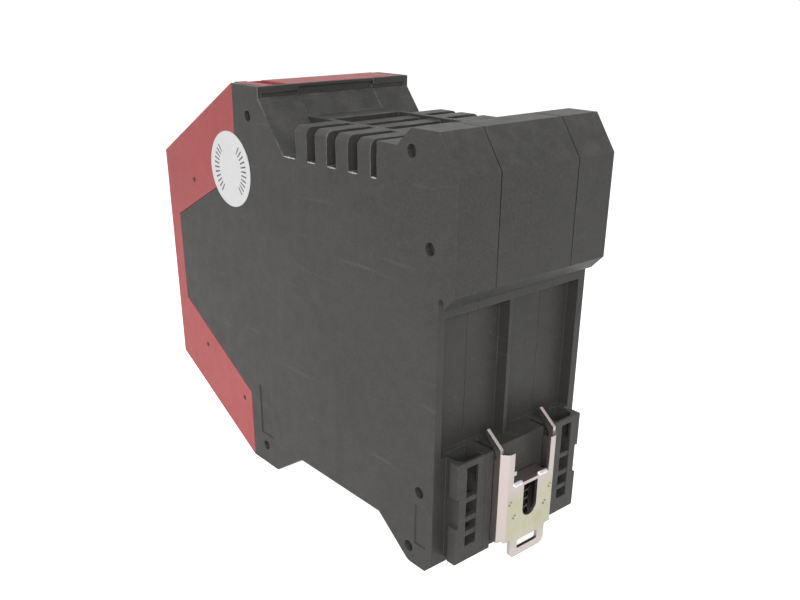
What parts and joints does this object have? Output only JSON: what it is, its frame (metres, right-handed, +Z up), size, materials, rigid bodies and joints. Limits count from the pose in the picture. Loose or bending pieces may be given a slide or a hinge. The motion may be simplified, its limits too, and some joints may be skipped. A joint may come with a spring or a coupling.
{
  "type": "safety relay",
  "caption": "Safety relay module in a narrow ribbed housing with a wedge-shaped front cover and a sprung latch for a top-hat rail.",
  "frame": {"origin": "middle of the rail seat: on the seat plane, at the height of the rail's centre line, mid width", "axes": "+X across the width, +Y out of the back towards the rail, +Z up"},
  "size_m": [0.0451, 0.1172, 0.099],
  "materials": {
    "housing_plastic": "fine moulded grain, dark grey",
    "cover_plastic": "satin moulded red",
    "zinc_steel": "yellowish zinc plating",
    "spring_steel": "dark oiled wire",
    "seal_paper": "matt white paper film",
    "label_film": "bare light grey film",
    "terminal_plastic": "dark glass-filled moulding",
    "cage_brass": "tin-flashed brass",
    "screw_steel": "bright zinc",
    "board_laminate": "green solder mask",
    "relay_case": "orange relay case",
    "core_steel": "stacked plates",
    "coil_tape": "yellow tape over winding",
    "capacitor_sleeve": "dark shrink sleeve",
    "fuse_case": "ceramic-like tube",
    "lamp_lens": "clear moulding"
  },
  "bodies": {
    "housing": {"right_side_shell": "housing_plastic", "left_side_shell": "housing_plastic", "centre_frame": "housing_plastic", "assembly_pegs": "housing_plastic", "front_cover": "cover_plastic", "front_label_plate": "label_film", "seal_sticker": "seal_paper", "latch_spring": "spring_steel", "upper_terminal_block": "terminal_plastic", "lower_terminal_block": "terminal_plastic", "upper_clamp_cages": "cage_brass", "lower_clamp_cages": "cage_brass", "upper_terminal_screws": "screw_steel", "lower_terminal_screws": "screw_steel", "main_board": "board_laminate", "power_board": "board_laminate", "board_connector": "terminal_plastic", "switching_relays": "relay_case", "transformer_core": "core_steel", "transformer_coil": "coil_tape", "capacitors": "capacitor_sleeve", "fuse": "fuse_case", "status_lamps": "lamp_lens", "light_pipes": "lamp_lens"},
    "latch": {"rail_latch": "zinc_steel"}
  },
  "joints": [
    {"name": "latch_slide", "type": "slide", "parent": "housing", "child": "latch", "axis": [0, 0, -1], "range_m": [0, 0.0045], "stiffness_N_per_m": 1200, "springref_m": -0.002, "deforming": ["latch_spring"]}
  ]
}
